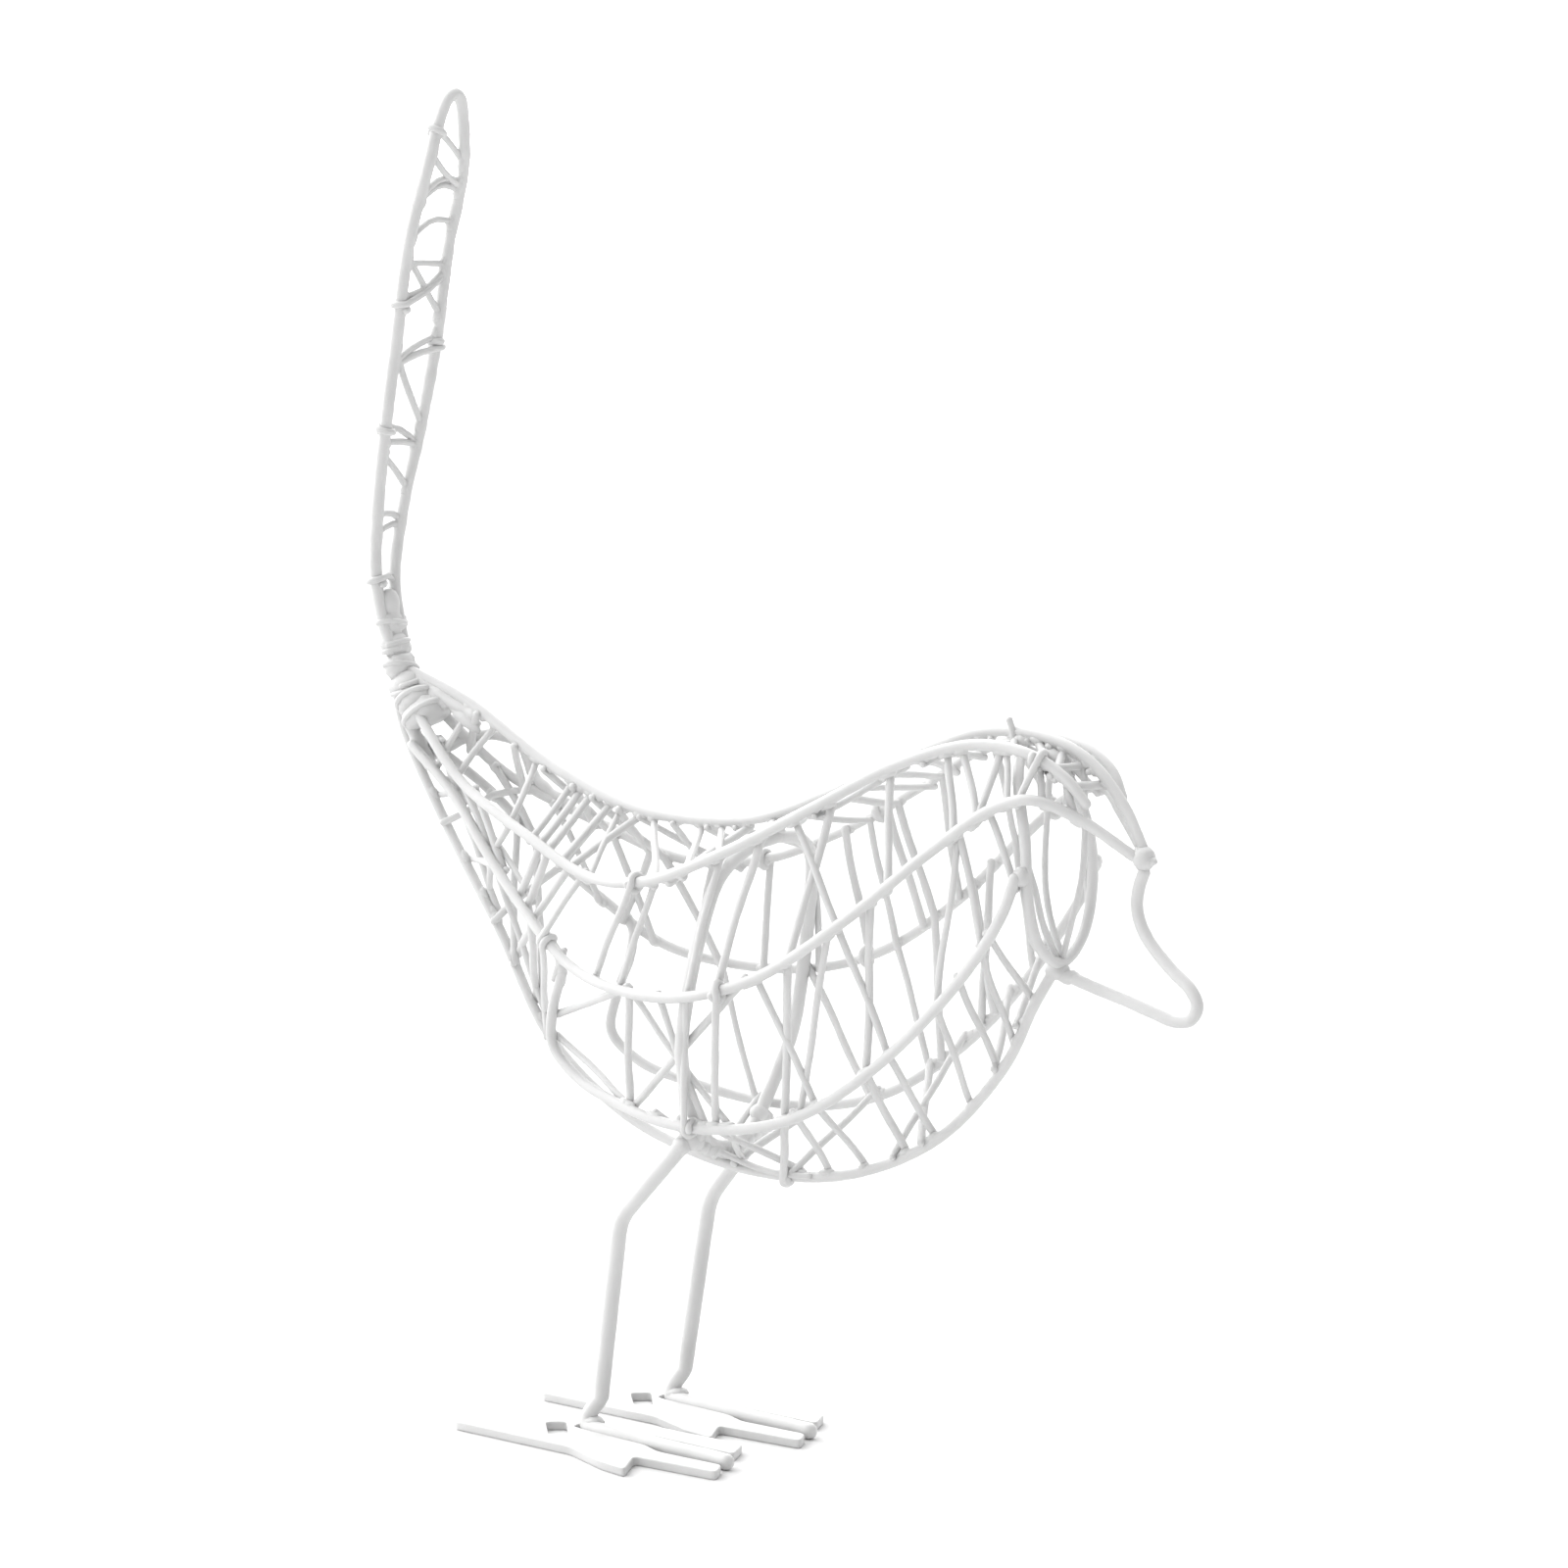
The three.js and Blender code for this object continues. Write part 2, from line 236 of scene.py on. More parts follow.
def rounding(end, way, radius):
    """Middles and radii of the rings beyond the end of a tube, from the tip inward."""
    return [
        (end + way * radius * math.cos(math.asin(share)) * END_REACH, radius * share)
        for share in ROUNDED_END
    ]


def tube(verts, faces, path, radius, sides, drift=ROD_DRIFT):
    """Adds a round bar along path, with rounded ends and a little unevenness of the paint."""
    first_way = (path[1] - path[0]).normalized()
    last_way = (path[-1] - path[-2]).normalized()
    rings = [
        *rounding(path[0], -first_way, radius),
        *((point, radius) for point in path),
        *reversed(rounding(path[-1], last_way, radius)),
    ]
    low, high = len(ROUNDED_END) - 1, len(rings) - len(ROUNDED_END)
    side = first_way.orthogonal().normalized()
    previous = first_way
    ring_starts = []
    for k, (centre, size) in enumerate(rings):
        if k <= low:
            way = first_way
        elif k >= high:
            way = last_way
        else:
            way = (rings[min(k + 1, high)][0] - rings[max(k - 1, low)][0]).normalized()
        side = (previous.rotation_difference(way) @ side).normalized()
        side = (side - way * side.dot(way)).normalized()
        other = way.cross(side)
        previous = way
        swell = 1 + drift * noise.noise(centre * PAINT_GRAIN)
        ring_starts.append(len(verts))
        for j in range(sides):
            turn = 2 * math.pi * j / sides
            around = side * math.cos(turn) + other * math.sin(turn)
            verts.append(centre + around * size * swell)
    for a, b in zip(ring_starts, ring_starts[1:]):
        for j in range(sides):
            n = (j + 1) % sides
            faces.append((a + j, a + n, b + n, b + j))
    faces.append(tuple(ring_starts[0] + j for j in reversed(range(sides))))
    faces.append(tuple(ring_starts[-1] + j for j in range(sides)))


def wire_tube(verts, faces, path, radius=WIRE):
    tube(verts, faces, path, radius, WIRE_SIDES, WIRE_DRIFT)


def bar(name, path, radius, sides=ROD_SIDES, drift=ROD_DRIFT):
    verts, faces = [], []
    tube(verts, faces, path, radius, sides, drift)
    return new_piece(name, verts, faces)


# Materials

def white_paint():
    """Thick sprayed white over steel: a soft sheen, faint grey drift and a fine uneven skin."""
    darkest, lightest = (0.54, 0.54, 0.538, 1), (0.62, 0.62, 0.618, 1)
    material = bpy.data.materials.new("white_paint")
    material.use_nodes = True
    nodes, links = material.node_tree.nodes, material.node_tree.links
    shader = nodes["Principled BSDF"]
    shader.inputs["Roughness"].default_value = 0.42
    shader.inputs["IOR"].default_value = 1.5
    place = nodes.new("ShaderNodeTexCoord")
    drift = nodes.new("ShaderNodeTexNoise")
    drift.inputs["Scale"].default_value = 55
    drift.inputs["Detail"].default_value = 4
    ramp = nodes.new("ShaderNodeValToRGB")
    ramp.color_ramp.elements[0].position = 0.3
    ramp.color_ramp.elements[0].color = darkest
    ramp.color_ramp.elements[1].position = 0.7
    ramp.color_ramp.elements[1].color = lightest
    skin = nodes.new("ShaderNodeTexNoise")
    skin.inputs["Scale"].default_value = 900
    skin.inputs["Detail"].default_value = 3
    bump = nodes.new("ShaderNodeBump")
    bump.inputs["Strength"].default_value = 0.25
    bump.inputs["Distance"].default_value = 0.0002
    links.new(place.outputs["Object"], drift.inputs["Vector"])
    links.new(place.outputs["Object"], skin.inputs["Vector"])
    links.new(drift.outputs["Fac"], ramp.inputs["Fac"])
    links.new(ramp.outputs["Color"], shader.inputs["Base Color"])
    links.new(skin.outputs["Fac"], bump.inputs["Height"])
    links.new(bump.outputs["Normal"], shader.inputs["Normal"])
    return material


paint = white_paint()


# The rods

def replacing(piece, *nodes):
    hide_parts(*nodes)
    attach(piece, "root")
    return piece


replacing(bar("back_rod_bar", back.line, CAGE_ROD), "back_rod")
replacing(bar("belly_rod_bar", belly.line, CAGE_ROD), "belly_rod")
replacing(bar("beak_loop_bar", smooth(in_middle(BEAK), 0.6), BEAK_ROD, THICK_SIDES), "beak_loop")
for name, rods in side_rods.items():
    for part, rod in rods.items():
        replacing(bar(f"{part}_rod_bar_{name}", rod.line, CAGE_ROD), f"{part}_rod_{name}")


def hoop(points):
    """The closed form of a hoop from the points of its left half."""
    return smooth([*reversed(on_side(points, RIGHT)), *on_side(points, LEFT)[1:]], 0.8)


replacing(bar("face_hoop_bar", hoop(FACE_HOOP), CAGE_ROD), "face_hoop")
replacing(bar("hip_hoop_bar", hoop(HIP_HOOP), HOOP_ROD, THICK_SIDES), "hip_hoop")
tail_tip = in_middle([TAIL_TIP])
tail_edges = {name: on_side(TAIL_EDGE, sign) for name, sign in SIDES.items()}
tail_line = smooth([*tail_edges["right"], *tail_tip, *reversed(tail_edges["left"])], 0.8)
TAIL_DRIFT = 0.12
replacing(bar("tail_loop_bar", tail_line, TAIL_ROD, ROD_SIDES, TAIL_DRIFT), "tail_loop")


# Winding

# How far a wire's middle stands off a rod, as a share of the wire's radius: welded behind the rod,
# and wound round it
WELDED_OFF, WOUND_OFF = 0.7, 0.8
# How far a wire's end runs on past the rod where it is welded
WELD_OVERLAP = 0.4
# The angle between two points of a turn round a rod, and how far the turn moves along the rod, in
# radii of the wire
TURN_STEP = 0.42
TURN_PITCH = 2.1
# The steps in which a long span wanders, how far it strays and how smoothly
SPAN_STEP = 3
STRAY = 0.9
STRAY_GRAIN = 0.045
SHORTEST_SPAN = 0.05


def middle_height(x):
    top = back.at(back.where(x))[0].z
    bottom = belly.at(belly.where(x))[0].z
    return (top + bottom) / 2


def outward(point):
    """The direction out of the cage, square to its length."""
    return Vector((0, point.y, point.z - middle_height(point.x))).normalized()


def inside_rod(path, rod, along, before, after, away):
    """Takes the wire past the inner side of a rod, where the two are welded."""
    centre, way = rod.at(along)
    travel = (after or centre) - (before or centre)
    travel = (travel - way * travel.dot(way)).normalized()
    out = way.cross(travel).normalized()
    if out.dot(away(centre)) > 0:
        out = -out
    middle = centre + out * (rod.radius + WIRE * WELDED_OFF)
    if not before:
        path.append(middle - travel * WELD_OVERLAP)
    path.append(middle)
    if not after:
        path.append(middle + travel * WELD_OVERLAP)


def over_rod(path, rod, along, before, after, turns, away):
    """Takes the wire round the outside of a rod in whole turns and lets it go on."""
    centre, way = rod.at(along)
    reach = rod.radius + WIRE * WOUND_OFF
    arrive = centre - before if before else after - centre
    leave = after - centre if after else arrive
    arrive = (arrive - way * arrive.dot(way)).normalized()
    leave = (leave - way * leave.dot(way)).normalized()
    out = way.cross(arrive).normalized()
    if out.dot(away(centre)) < 0:
        out = -out
    axis = out.cross(arrive).normalized()
    bend = math.atan2(axis.dot(arrive.cross(leave)), arrive.dot(leave))
    start = 0 if before else -2 * math.pi * turns
    stop = bend + (2 * math.pi * turns if before else 0)
    steps = max(1, math.ceil(abs(stop - start) / TURN_STEP))
    pitch = TURN_PITCH * WIRE * turns
    for k in range(steps + 1):
        share = k / steps
        spoke = Quaternion(axis, start + (stop - start) * share) @ out
        path.append(centre + spoke * reach + way * pitch * (share - 0.5))


def loosely(path, bow):
    """The same path with its longer straight parts taken in small steps that wander and bow."""
    out = [path[0]]
    for a, b in zip(path, path[1:]):
        span = (b - a).length
        if span < SHORTEST_SPAN:
            continue
        count = max(1, round(span / SPAN_STEP))
        for k in range(1, count):
            share = k / count
            slack = math.sin(math.pi * share)
            stray = noise.noise_vector(a.lerp(b, share) * STRAY_GRAIN) * STRAY * slack
            out.append(a.lerp(b, share) + stray + Vector((0, 0, bow * slack)))
        out.append(b)
    return out


def wound(stations, away=outward, bow=0.0, butted=False):
    """Path of a wire that meets each (rod, length along it, turns round it) one after another.

    bow lifts the middle of its spans, and a butted wire ends in the middle of the rods."""
    centres = [rod.at(along)[0] for rod, along, _ in stations]
    path = []
    for k, (rod, along, turns) in enumerate(stations):
        before = centres[k - 1] if k > 0 else None
        after = centres[k + 1] if k + 1 < len(stations) else None
        if turns:
            over_rod(path, rod, along, before, after, turns, away)
        elif butted:
            path.append(centres[k])
        else:
            inside_rod(path, rod, along, before, after, away)
    return loosely(path, bow)


BEAD_RINGS, BEAD_SIDES = 6, 10
BEAD_LUMPS, BEAD_GRAIN = 0.22, 1.6


def bead(verts, faces, centre, radii, seed, way=None):
    """A small uneven lump of weld and paint; way turns its first radius along a rod."""
    rings, sides = BEAD_RINGS, BEAD_SIDES
    start = len(verts)
    turned = (way or Vector((1, 0, 0))).to_track_quat("X", "Z")
    for i in range(1, rings):
        polar = math.pi * i / rings
        for j in range(sides):
            turn = 2 * math.pi * j / sides
            level = math.sin(polar)
            spoke = Vector((level * math.cos(turn), level * math.sin(turn), math.cos(polar)))
            lump = 1 + BEAD_LUMPS * noise.noise(spoke * BEAD_GRAIN + Vector((seed, 2 * seed, 0)))
            offset = Vector((spoke.x * radii[0], spoke.y * radii[1], spoke.z * radii[2])) * lump
            verts.append(centre + turned @ offset)
    for i in range(rings - 2):
        for j in range(sides):
            n = (j + 1) % sides
            a, b = start + i * sides, start + (i + 1) * sides
            faces.append((a + j, b + j, b + n, a + n))
    faces.append(tuple(start + j for j in range(sides)))
    faces.append(tuple(start + (rings - 2) * sides + j for j in reversed(range(sides))))


# The wires of each flank. Each meets rods at the named x: b back, s shoulder, f flank, l lower,
# y belly; @ counts millimetres from the rear end of the rod instead, and * is a full turn round it
WIRES = {
    "right": [
        "b25 s41 f33.5 l30*", "b50 s61 f75 l85 y86", "b57 s70 f62 l56 y45*", "l59 y56",
        "b68 s84 f87", "f83.5 l79 y78", "f73 l60", "f53.5 l65 y66.5", "b88 s97.5 f102",
        "s101 f107.5", "s110.5 f107", "b107 s112 f114.5", "s120* f117", "s120 f123.5",
        "f103.5 l108.5", "f110.5 l117", "f103.5 l97.5 y96", "l103.5 y103.5", "l109 y108",
        "l111 y113", "f44* l36", "f51 l9.5", "b19 s31", "f14.5 l40 y31", "f24.5 l33 y48",
        "f14.5 l8.5", "f14 l@11.5", "l8 l@17", "b-5 s-1", "s17* f2", "s22 f11",
        "b-31 s-30 f-38 y-48", "b-20 s-22", "b-17 s-19 f-27", "b-14 s-16 f-24 y-33", "b-8 s-11",
        "b1 s-8 f-21 y-39", "b5 s22", "b-44 s-50 f-41 y-29", "s-58 f-53 y-64", "f-55 y-45",
        "s-3 f-14* y-30", "f-10 l@3", "b-52 s-56 f-60 y-70", "b33 s27", "b40 s52 f42", "b77 s66",
        "b98 s92", "l18 y23", "l26 y18", "b120 s125", "b113 s124", "b126 s121", "b131 s127 f129",
        "f-33 y-54", "s-44 f-34",
    ],
    "left": [
        "b22 s21* f20.5", "s46 f49*", "b47 s53 f59 l73.5", "s55.5* f67", "b59 s62 f70.5 l77",
        "b72 s76 f78", "f82.5 l92", "b30 s35.5 f36", "f33 l57", "f9 l23.5", "l2 y14", "b12 s8 f2",
        "b2 s15", "b-4 s-8 f-16", "b-12 s-4 f9", "b-18 s-23 f-32 y-44", "b-27 s-18 f-8",
        "b-36 s-42 f-50 y-60", "s-50 f-39 y-27", "b-48 s-56", "b82 s79", "b91 s99 f106*",
        "b101 s93 f96 l103", "b111 s117 f111", "l108 y110", "f88.5 l88.5", "l97 y104", "b64 s72",
        "l44 y30", "l59 y47", "s-34 f-22", "s110 f121", "b117 s122", "b128 s119", "b86 s88",
        "l74 y84", "f-44 y-38", "l24 y24", "l84 y76",
    ],
}
RODS_BY_LETTER = {"s": "shoulder", "f": "flank", "l": "lower"}
SEEDS = {"right": 3, "left": 5}
BANDS = ("upper", "middle", "lower", "breast", "vent", "rump")
# The least and the greatest half-length and radius of the knots of weld and paint, and how far
# they lie inward of the rod
KNOT_LENGTH, KNOT_RADIUS, KNOT_DEPTH = (1.6, 2.6), (0.95, 1.3), 0.8


def stations_of(wire, side):
    """The stations written in a wire's short form."""
    stations = []
    for word in wire.split():
        letter, place = word[0], word[1:].rstrip("*")
        rod = {"b": back, "y": belly}.get(letter) or side_rods[side][RODS_BY_LETTER[letter]]
        along = float(place[1:]) if place[0] == "@" else rod.where(float(place))
        stations.append((rod, along, 1 if word.endswith("*") else 0))
    return stations


for side, wires in WIRES.items():
    verts, faces = [], []
    pick = random.Random(SEEDS[side])
    for wire in wires:
        stations = stations_of(wire, side)
        wire_tube(verts, faces, wound(stations), pick.uniform(*PAINTED_WIRE))
        for rod, along, _ in stations:
            spot, way = rod.at(along)
            size = pick.uniform(*KNOT_RADIUS)
            radii = (pick.uniform(*KNOT_LENGTH), size, size * 1.1)
            middle = spot - outward(spot) * KNOT_DEPTH
            bead(verts, faces, middle, radii, pick.uniform(0, 90), way)
    winding = new_piece(f"winding_{side}", verts, faces)
    replacing(winding, *(f"lacing_{band}_{side}" for band in BANDS))

# The wires across the tail, by the height at which each crosses its right and its left edge, the
# turns round each and how far it bows upward
TAIL_WIRES = [
    (306, 299, 1, 0, 1.5), (301, 293, 0, 0, -1), (290.5, 294, 0, 0, 2.5), (289.3, 292.6, 0, 0, 2.3),
    (281, 284, 0, 0, 2.5), (274.5, 275, 0, 0, 0.5), (266.5, 274, 0, 0, -1),
    (264.8, 273, 1, 0, -0.4), (277, 262, 0, 0, 0), (251, 257.5, 0, 0, 1),
    (249.5, 256, 0, 1, 1), (254.5, 236, 0, 0, -1.5),
    (234.5, 231, 1, 0, 1), (232, 230.5, 0, 0, 0), (229, 220, 0, 0, 0), (213, 212, 0, 0, 1.5),
    (209, 211.5, 0, 0, 1), (197, 197.5, 1, 0, 1),
]
tail_right = Rod([*tail_edges["right"], *tail_tip])
tail_left = Rod([*tail_edges["left"], *tail_tip])


def height_along(rod, height):
    return next(at for at, point in zip(rod.lengths, rod.line) if point.z >= height)


TAIL_KNOT = (2.6, 1.25, 1.3)
verts, faces = [], []
for k, (right_z, left_z, right_turns, left_turns, bow) in enumerate(TAIL_WIRES):
    face = Vector((1 if k % 3 else -1, 0, 0.2))
    stations = [
        (tail_right, height_along(tail_right, right_z), right_turns),
        (tail_left, height_along(tail_left, left_z), left_turns),
    ]
    wire_tube(verts, faces, wound(stations, lambda point: face, bow, butted=True), TAIL_WIRE)
    for rod, along, turns in stations:
        spot, way = rod.at(along)
        bead(verts, faces, spot - Vector((0, spot.y * 0.12, 0)), TAIL_KNOT, right_z, way)
replacing(new_piece("tail_winding", verts, faces), "tail_lacing_front", "tail_lacing_back")

# Wire bound round the root of the tail: each turn's middle as [x, z], its half-width in the middle
# plane, its half-width sideways and how far it leans
ROOT_TURNS = [
    (-77.4, 188, 2.4, 4.1, 0.12), (-75.9, 182.2, 2.7, 3.9, -0.25), (-74.3, 177.2, 3.4, 4.2, 0.3),
    (-71.6, 172.6, 4.5, 4.7, -0.25), (-68.4, 169.2, 5.5, 5.2, 0.3), (-65.8, 166.4, 6.4, 5.8, 0.1),
]


# Down along the tail's root, above and below the height at which it bends into the body, and the
# slope of the fillings inside the turns
ROOT_BEND_Z = 172
ROOT_ABOVE, ROOT_BELOW = Vector((0.3, 0, -0.95)), Vector((0.62, 0, -0.78))
ROOT_SLOPE = Vector((-0.5, 0, 0.87))
# Points in a full turn, with those of its overlap, and how far the wire climbs in it
TURN_POINTS, POINTS_WITH_OVERLAP, CLIMB = 40, 46, 1.5


def root_turn(x, z, half, sideways, lean):
    """One turn of wire, overlapping its own ends, round the rods at the tail's root."""
    below = ROOT_BELOW if z < ROOT_BEND_Z else ROOT_ABOVE
    across = Vector((-below.z, 0, below.x))
    path = []
    for k in range(POINTS_WITH_OVERLAP):
        share = k / TURN_POINTS
        turn = 2 * math.pi * share + lean * 5
        ring = across * half * math.cos(turn) + Vector((0, sideways * math.sin(turn), 0))
        slope = below * (lean * half * math.sin(turn) + CLIMB * (share - 0.5))
        path.append(Vector((x, 0, z)) + ring + slope)
    return path


verts, faces = [], []
for x, z, half, sideways, lean in ROOT_TURNS:
    wire_tube(verts, faces, root_turn(x, z, half, sideways, lean))
    bead(verts, faces, Vector((x, 0, z)), (3.8, sideways + 0.4, half + 0.4), z, ROOT_SLOPE)

# The paint and weld that fill the root and run on under the back and the belly, as radius and
# points, and the thick bend of wire that springs from the root
ROOT_FILLINGS = [
    (2.6, [
        (-78.6, 0, 194), (-77.8, 0, 189), (-76.4, 0, 183), (-75, 0, 178), (-72.2, 0, 173),
        (-69, 0, 169),
    ]),
    (1.7, [(-71, 0, 175.4), (-64, 0, 172.4), (-57, 0, 169.2), (-50, 0, 166.8)]),
    (1.9, [(-74.6, 0, 178), (-73.4, 0, 170), (-71, 0, 163), (-67.6, 0, 156.6)]),
    (1.4, [
        (-67, 3, 155.3), (-60, 6, 159.3), (-53.2, 9, 160.9), (-45, 10.5, 159.1),
        (-40.5, 11, 150.9), (-31, 12, 145),
    ]),
]
for radius, points in ROOT_FILLINGS:
    line = smooth([Vector(point) for point in points])
    tube(verts, faces, line, radius, FILLING_SIDES, FILLING_DRIFT)
replacing(new_piece("tail_root_binding", verts, faces), "tail_binding")


# Legs and feet

def leg(sign):
    """One leg: the middle toe, the heel, the shank, the rounded knee and the thigh."""
    def up(x, z):
        return Vector((x, sign * STANCE, z))
    toe = [Vector((x, sign * STANCE - out, LEG_ROD + rise)) for x, rise, out in TOE]
    knee, hip, ankle = up(*KNEES[sign]), up(*HIP), up(*ANKLE)
    below = (knee - ankle).normalized() * KNEE_BEND
    above = (hip - knee).normalized() * KNEE_BEND
    bend = [
        knee - below + (below * 2 * t) * (1 - t) + (below + above) * t * t
        for t in (0, 0.2, 0.4, 0.6, 0.8, 1)
    ]
    return [
        *smooth([*toe, ankle], 0.8),
        *(ankle.lerp(knee - below, t / 12) for t in range(1, 12)),
        *bend,
        *((knee + above).lerp(hip, t / 6) for t in range(1, 7)),
    ]


for name, sign in SIDES.items():
    replacing(bar(f"leg_bar_{name}", leg(sign), LEG_ROD, THICK_SIDES, LEG_DRIFT), f"leg_{name}")

# The flat foot round the middle toe, as [forward, sideways to -Y] from the foot of the leg
FOOT_THICKNESS = 2.2
FOOT_EDGE = 0.4
FOOT_OUTLINE = [
    [7, 18.2], [-29, 18.2], [-29, 14.6], [-8, 14.6], [-14, 6.5], [-16.5, -0.5], [-8.5, -6.8],
    [38, -7.6], [41, -0.2], [17, -0.6], [9.1, 1.3], [-3.7, -0.5], [-3.7, 4.6], [19.9, 6.4],
    [26, 9], [44.5, 8.7], [46.8, 14], [24, 15.5], [28.5, 24.5], [20, 23],
]
FOOT_WINDOW = [[-3.6, 13.4], [0.2, 10.6], [-7.2, 2.4], [-11, 5.6]]
OUTLINE_CUT, WINDOW_CUT = 1.6, 1.2


def eased(corners, cut):
    """The closed outline with each corner rounded off over the given length of its sides."""
    out = []
    for k, corner in enumerate(corners):
        before = corners[k - 1] - corner
        after = corners[(k + 1) % len(corners)] - corner
        a = corner + before.normalized() * min(cut, before.length * 0.45)
        b = corner + after.normalized() * min(cut, after.length * 0.45)
        out += [a.lerp(corner, t).lerp(corner.lerp(b, t), t) for t in (0, 0.25, 0.5, 0.75, 1)]
    return out


def foot_plate(name, sign):
    """The plate with its edges rounded and the window cut through it."""
    curve = bpy.data.curves.new("foot_outline", "CURVE")
    curve.dimensions = "2D"
    curve.fill_mode = "BOTH"
    curve.bevel_depth = FOOT_EDGE
    curve.bevel_resolution = 3
    curve.extrude = FOOT_THICKNESS / 2 - FOOT_EDGE
    curve.offset = -FOOT_EDGE
    for corners, cut in ((FOOT_OUTLINE, OUTLINE_CUT), (FOOT_WINDOW, WINDOW_CUT)):
        points = eased([Vector((x, -out, 0)) for x, out in corners], cut)
        spline = curve.splines.new("POLY")
        spline.points.add(len(points) - 1)
        for spot, point in zip(spline.points, points):
            spot.co = (point.x, point.y, 0, 1)
        spline.use_cyclic_u = True
    shape = bpy.data.objects.new("foot_outline", curve)
    bpy.context.scene.collection.objects.link(shape)
    bpy.context.view_layer.update()
    depsgraph = bpy.context.evaluated_depsgraph_get()
    flat = bpy.data.meshes.new_from_object(shape.evaluated_get(depsgraph))
    verts = [v.co + Vector((0, sign * STANCE, FOOT_THICKNESS / 2)) for v in flat.vertices]
    faces = [tuple(poly.vertices) for poly in flat.polygons]
    bpy.data.objects.remove(shape)
    bpy.data.curves.remove(curve)
    bpy.data.meshes.remove(flat)
    return new_piece(name, verts, faces)


for name, sign in SIDES.items():
    replacing(foot_plate(f"foot_plate_{name}", sign), f"foot_{name}")


# Welds, filled corners and loose wires

def added(piece):
    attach(piece, "root")
    return piece


# The welds in the middle plane, as middle and radii
WELDS = [
    ((118.8, 0, 121), (3.2, 2.2, 2.2)),
    ((121.6, 0, 120), (3, 1.7, 1.7)),
    ((140.7, 0, 147.9), (2.5, 3.4, 2.9)),
    ((142.2, 0, 147.4), (2, 1.2, 1.1)),
    ((109, 0, 171.2), (2.4, 2, 1.8)),
    ((41.4, 0, 146), (2.3, 2, 1.8)),
    ((27.4, 0, 68.6), (2.6, 2.2, 1.8)),
]
# Where paint and weld fill the corners between rods at the tail's root and over the head, as the
# middle, the radii and the slope of each filling
FILLED_CORNERS = [
    ((-62, 0, 170.2), (4.6, 2.2, 2.8), -0.5), ((-53.2, 0, 165.6), (5.6, 1.8, 2.2), -0.55),
    ((-59.2, -2.4, 158.6), (3.4, 1.8, 2.2), -1.1), ((-56.4, 0, 147.6), (4.6, 2.2, 2), -1.4),
    ((-66.6, 0, 155.6), (4.2, 2, 1.8), -1.5), ((118, 0, 168.2), (4.4, 2.6, 2), -0.55),
]
# The weld that runs from the top of each leg to the hip hoop, as shares of the way and radii, and
# the one that lines the low part of the hoop
HOOP_END_X, HOOP_END_Y, HOOP_END_Z = 27.9, 11, 76.2
HIP_WELD = ((0, 2.3), (0.35, 2.5), (0.7, 2.4), (1, 2.2))
LOW_HOOP_X, LOW_HOOP_Z, LOW_HOOP_RISE = 27.2, 69.4, 0.085
LOW_HOOP_START, LOW_HOOP_STEP = 1.2, 2.8

verts, faces = [], []
for centre, radii in WELDS:
    bead(verts, faces, Vector(centre), radii, centre[0])
for centre, radii, slope in FILLED_CORNERS:
    bead(verts, faces, Vector(centre), radii, centre[0], Vector((1, 0, slope)).normalized())
for sign in SIDES.values():
    hip = Vector((HIP[0], sign * STANCE, HIP[1]))
    hoop_end = Vector((HOOP_END_X, sign * HOOP_END_Y, HOOP_END_Z))
    for share, size in HIP_WELD:
        bead(verts, faces, hip.lerp(hoop_end, share), (size, size, size), share + sign)
    for k in range(5):
        y = LOW_HOOP_START + LOW_HOOP_STEP * k
        low = Vector((LOW_HOOP_X, sign * y, LOW_HOOP_Z + LOW_HOOP_RISE * y ** 1.5))
        bead(verts, faces, low, (2.2, 2.4, 2), k * sign)
    ankle = Vector((0.2, sign * STANCE - 1.6, 3.2))
    bead(verts, faces, ankle, (3, 2.8, 1.6), sign)
    bead(verts, faces, Vector((118.7, sign * 14.3, 143.6)), (1.9, 2.2, 2.4), sign)
added(new_piece("joint_welds", verts, faces))

# In the head: two upright wires, one down the right side of the face hoop, the nub on top, one low
# on the right and one down the left side of the hoop. Then one along the belly, and one that runs
# from the tail's root along the right side
LOOSE_WIRES = [
    [
        (114.6, 3, 171.4), (114, 3.2, 160), (113.3, 3, 145), (114, 2.6, 137), (116.5, 1.8, 129.5),
        (119.4, 1, 124.5),
    ],
    [(125.2, 0, 167.8), (125.6, 0, 152), (124.8, 0, 142), (122, 0, 131), (120.2, 0, 124.5)],
    [
        (117.4, -12.4, 152), (118.4, -11.5, 146), (118.8, -9, 139.8), (118.6, -6.5, 133.8),
        (118.5, -4, 129.6), (119.2, 0, 123),
    ],
    [(107.4, -1, 172), (107, -1.2, 174.4), (106.6, -1.6, 176)],
    [(118.4, -11.4, 134), (118.9, -9.8, 128.6), (119.4, -4.6, 124.2), (119.6, 0, 122.4)],
    [
        (117.6, 12.2, 152), (117.2, 13.6, 143), (118.4, 12.4, 133), (119.2, 8, 127.2),
        (119.6, 1, 123.2),
    ],
    [(26.6, -8, 72), (30, -3, 68.6), (36, -1.4, 66.6), (44, -1.6, 66), (52, -1.4, 66.4)],
    [
        (-58.9, -2, 155.3), (-52.1, -3.6, 149.3), (-41.1, -6, 139.8), (-35.5, -7.6, 135.9),
        (-26.8, -10, 128.6), (-22, -11.6, 124.7),
    ],
]
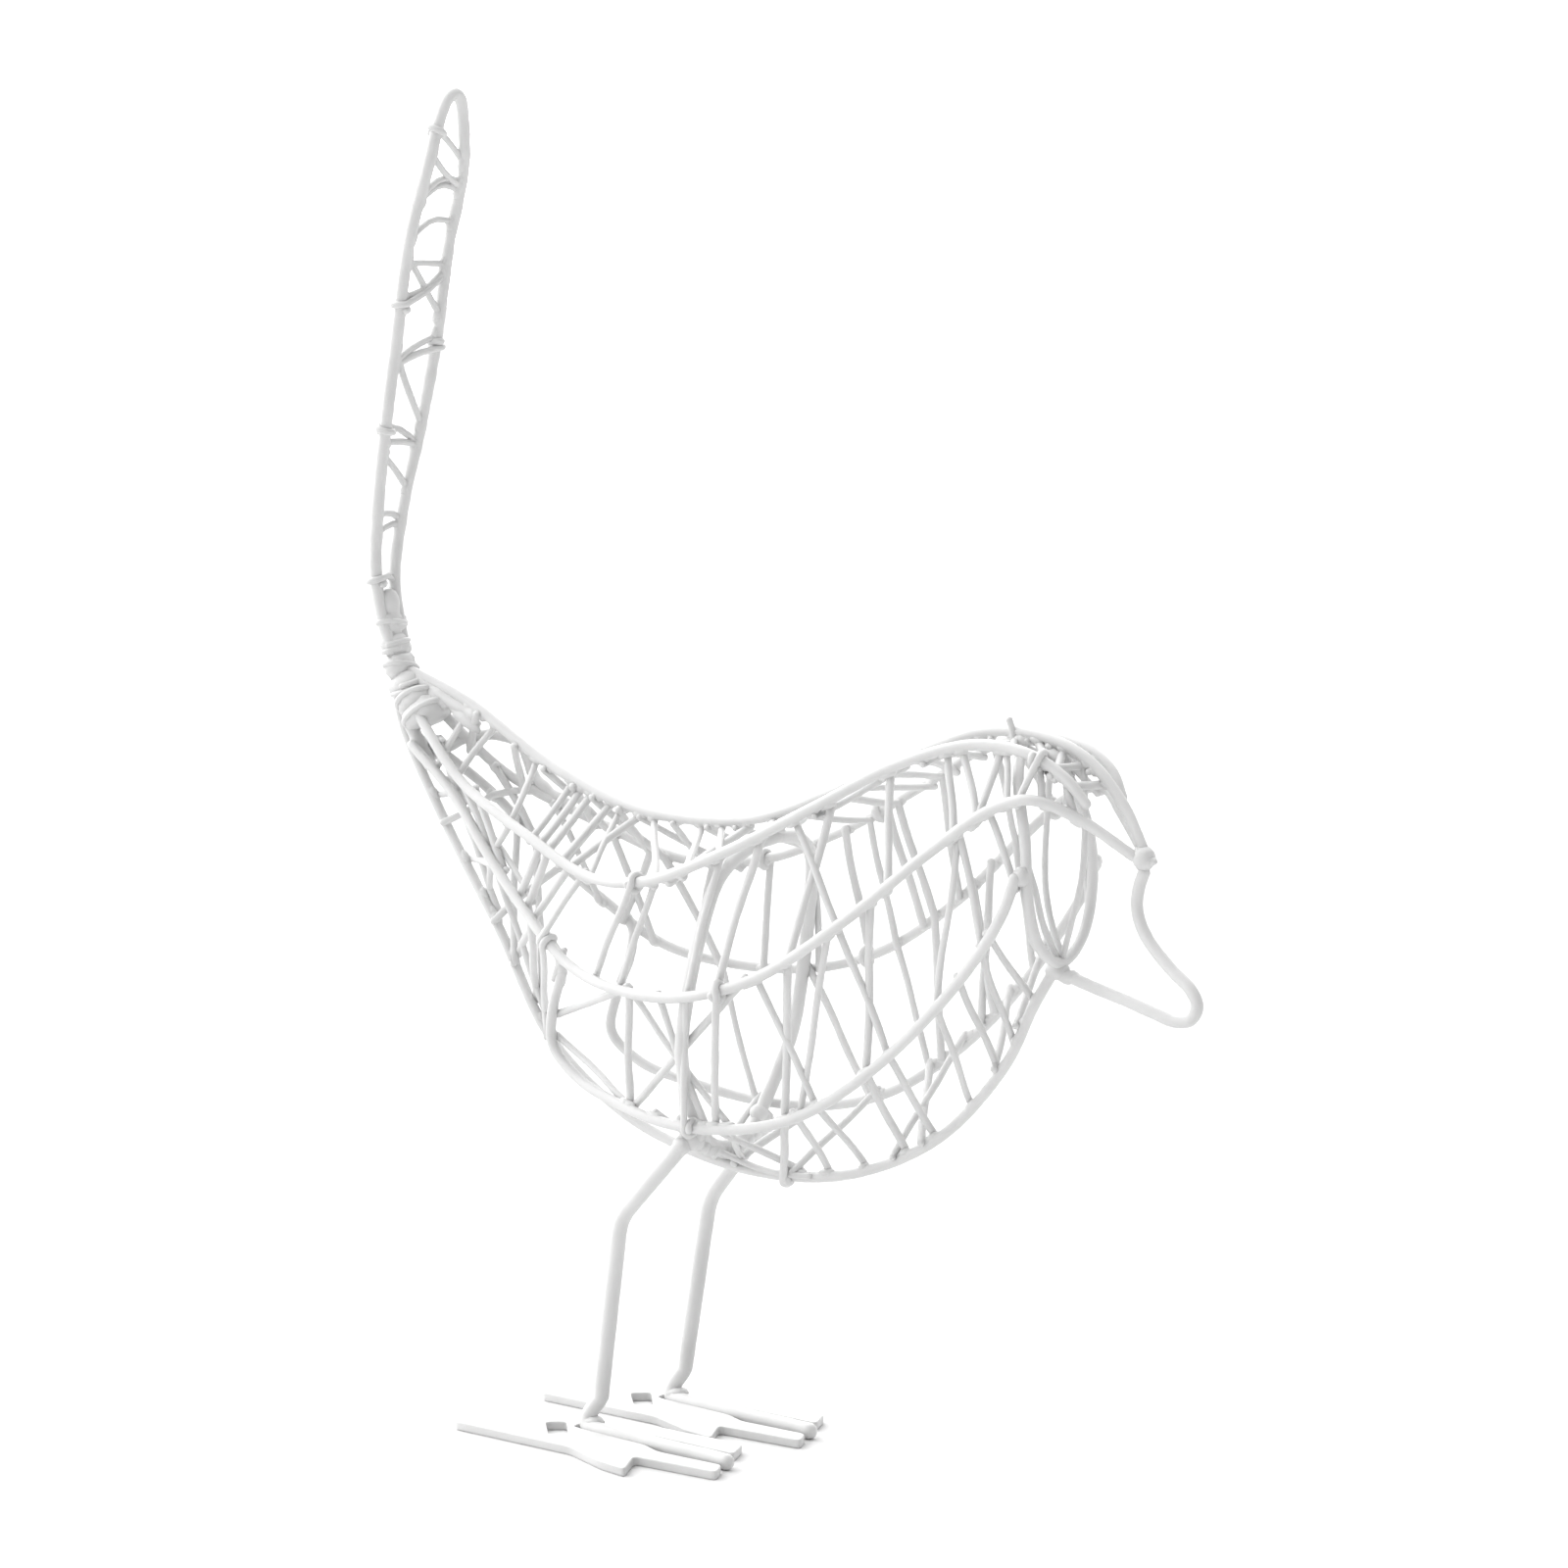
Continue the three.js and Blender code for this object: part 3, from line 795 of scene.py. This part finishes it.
# The rod that joins the rear end of each lower rod to the flank rod above it
REAR_BEND = [(-12.6, 12.6, 109), (-12.4, 13.6, 112.6), (-13.4, 15, 115.6), (-15.6, 15.4, 118.6)]
REAR_BEND_SIDES = 14
verts, faces = [], []
for points in LOOSE_WIRES:
    wire_tube(verts, faces, smooth([Vector(point) for point in points]))
for sign in SIDES.values():
    tube(verts, faces, smooth(on_side(REAR_BEND, sign)), CAGE_ROD, REAR_BEND_SIDES)
added(new_piece("loose_wires", verts, faces))


# Stage

FLOOR_SIZE = 40
FLOOR_WHITE = 0.66


def floor_paper():
    """Plain matt paper."""
    material = bpy.data.materials.new("floor_paper")
    material.use_nodes = True
    shader = material.node_tree.nodes["Principled BSDF"]
    shader.inputs["Base Color"].default_value = (FLOOR_WHITE, FLOOR_WHITE, FLOOR_WHITE, 1)
    shader.inputs["Roughness"].default_value = 1
    shader.inputs["Specular IOR Level"].default_value = 0
    return material


bpy.ops.mesh.primitive_plane_add(size=FLOOR_SIZE, location=(0, 0, 0))
floor = bpy.context.object
floor.name = "floor"
floor.data.materials.append(floor_paper())

# The world: an even light, a white band all round near the level, and the light of the photograph,
# brightest from above and behind the bird's tail. The band fades with the sine of the height
EVEN_LIGHT = 0.37
BAND_LIGHT, BAND_FADES_AT, BAND_FULL_AT = 0.66, 0.36, 0.12
TAIL_LIGHT = 3.3
LIGHT_FROM = Vector((-0.76, 0.18, 0.62)).normalized()
UP = Vector((0, 0, 1))
world = bpy.data.worlds.new("studio")
bpy.context.scene.world = world
world.use_nodes = True
nodes, links = world.node_tree.nodes, world.node_tree.links
heading = nodes.new("ShaderNodeTexCoord")


def toward(direction, start, stop, strength):
    """Strength that rises from 0 to the given one as the heading turns to a direction."""
    dot = nodes.new("ShaderNodeVectorMath")
    dot.operation = "DOT_PRODUCT"
    dot.inputs[1].default_value = direction
    rise = nodes.new("ShaderNodeMapRange")
    rise.inputs["From Min"].default_value = start
    rise.inputs["From Max"].default_value = stop
    rise.inputs["To Min"].default_value = 0
    rise.inputs["To Max"].default_value = strength
    links.new(heading.outputs["Generated"], dot.inputs[0])
    links.new(dot.outputs["Value"], rise.inputs["Value"])
    return rise.outputs["Result"]


total = nodes.new("ShaderNodeMath")
total.operation = "ADD"
links.new(toward(LIGHT_FROM, 0, 1, TAIL_LIGHT), total.inputs[0])
links.new(toward(UP, BAND_FADES_AT, BAND_FULL_AT, BAND_LIGHT), total.inputs[1])
even = nodes.new("ShaderNodeMath")
even.operation = "ADD"
even.inputs[1].default_value = EVEN_LIGHT
links.new(total.outputs["Value"], even.inputs[0])
links.new(even.outputs["Value"], nodes["Background"].inputs["Strength"])
nodes["Background"].inputs["Color"].default_value = (1, 1, 1, 1)

# A soft round lamp on the same side, in metres and watts
LAMP_AT = Vector((-1.4, 0.33, 1.2))
LAMP_AIM = Vector((0, 0, 0.15))
lamp = bpy.data.lights.new("key", "AREA")
lamp.shape = "DISK"
lamp.size = 1.6
lamp.energy = 6
light = bpy.data.objects.new("key", lamp)
bpy.context.scene.collection.objects.link(light)
light.location = LAMP_AT
light.rotation_euler = (LAMP_AIM - LAMP_AT).to_track_quat("-Z", "Y").to_euler()

bpy.context.scene.view_settings.view_transform = "Standard"

# The camera, worked out from the photograph's perspective: 37 degrees from the bird's right side
# toward its front, 7.1 degrees above the level
CAMERA_AT = Vector((613.8, -756.7, 274.8))
CAMERA_AZIMUTH = math.radians(37)
CAMERA_DROP = math.radians(7.1)
FOCAL_LENGTH = 95.6
camera_data = bpy.data.cameras.new("camera")
camera_data.sensor_width = 36
camera_data.lens = FOCAL_LENGTH
camera_data.clip_start = 0.01
camera = bpy.data.objects.new("camera", camera_data)
bpy.context.scene.collection.objects.link(camera)
camera.location = (CAMERA_AT + SHIFT) * MM
camera.rotation_euler = (math.pi / 2 - CAMERA_DROP, 0, CAMERA_AZIMUTH)
bpy.context.scene.camera = camera
